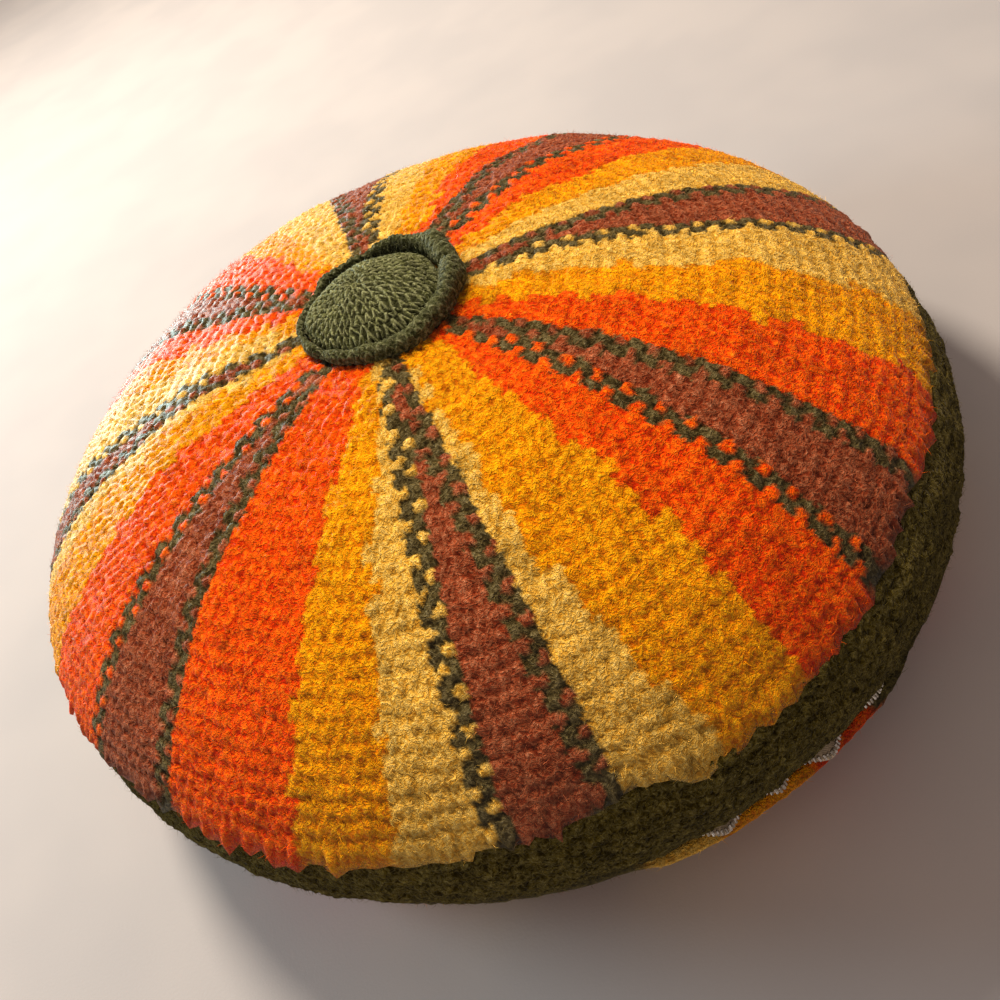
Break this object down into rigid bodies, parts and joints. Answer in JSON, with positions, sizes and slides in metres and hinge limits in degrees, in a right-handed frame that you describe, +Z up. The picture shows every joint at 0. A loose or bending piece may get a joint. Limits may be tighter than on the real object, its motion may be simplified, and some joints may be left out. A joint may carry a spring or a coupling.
{
  "type": "round crochet cushion",
  "caption": "Round stuffed cushion with a crowned, radially striped crochet front, an upright band, a back panel, a tufted covered button and a short stretch of zip.",
  "frame": {"origin": "on the floor under the middle of the cushion's outline", "axes": "+Z up, out of the striped front with its button; -Y towards the viewer; the zip shows on the -Y side"},
  "size_m": [0.3914, 0.398, 0.1465],
  "materials": {
    "striped_wool": "felted crochet wool in radial stripes of rust brown, dark green, cream, mustard and orange",
    "green_wool": "felted dark olive-green crochet wool, fuzzy",
    "striped_wool_back": "felted crochet wool, striped as the front",
    "green_button_wool": "dark green knitted wool cover over padding",
    "zip_tape_cotton": "worn beige-grey cotton tape",
    "zip_metal": "worn silver-coloured metal teeth"
  },
  "bodies": {
    "root": {"front_panel": "striped_wool", "gusset": "green_wool", "back_panel": "striped_wool_back", "button_pad": "green_button_wool", "button_rim": "green_button_wool", "zip_tape": "zip_tape_cotton", "zip_teeth": "zip_metal"}
  },
  "joints": []
}
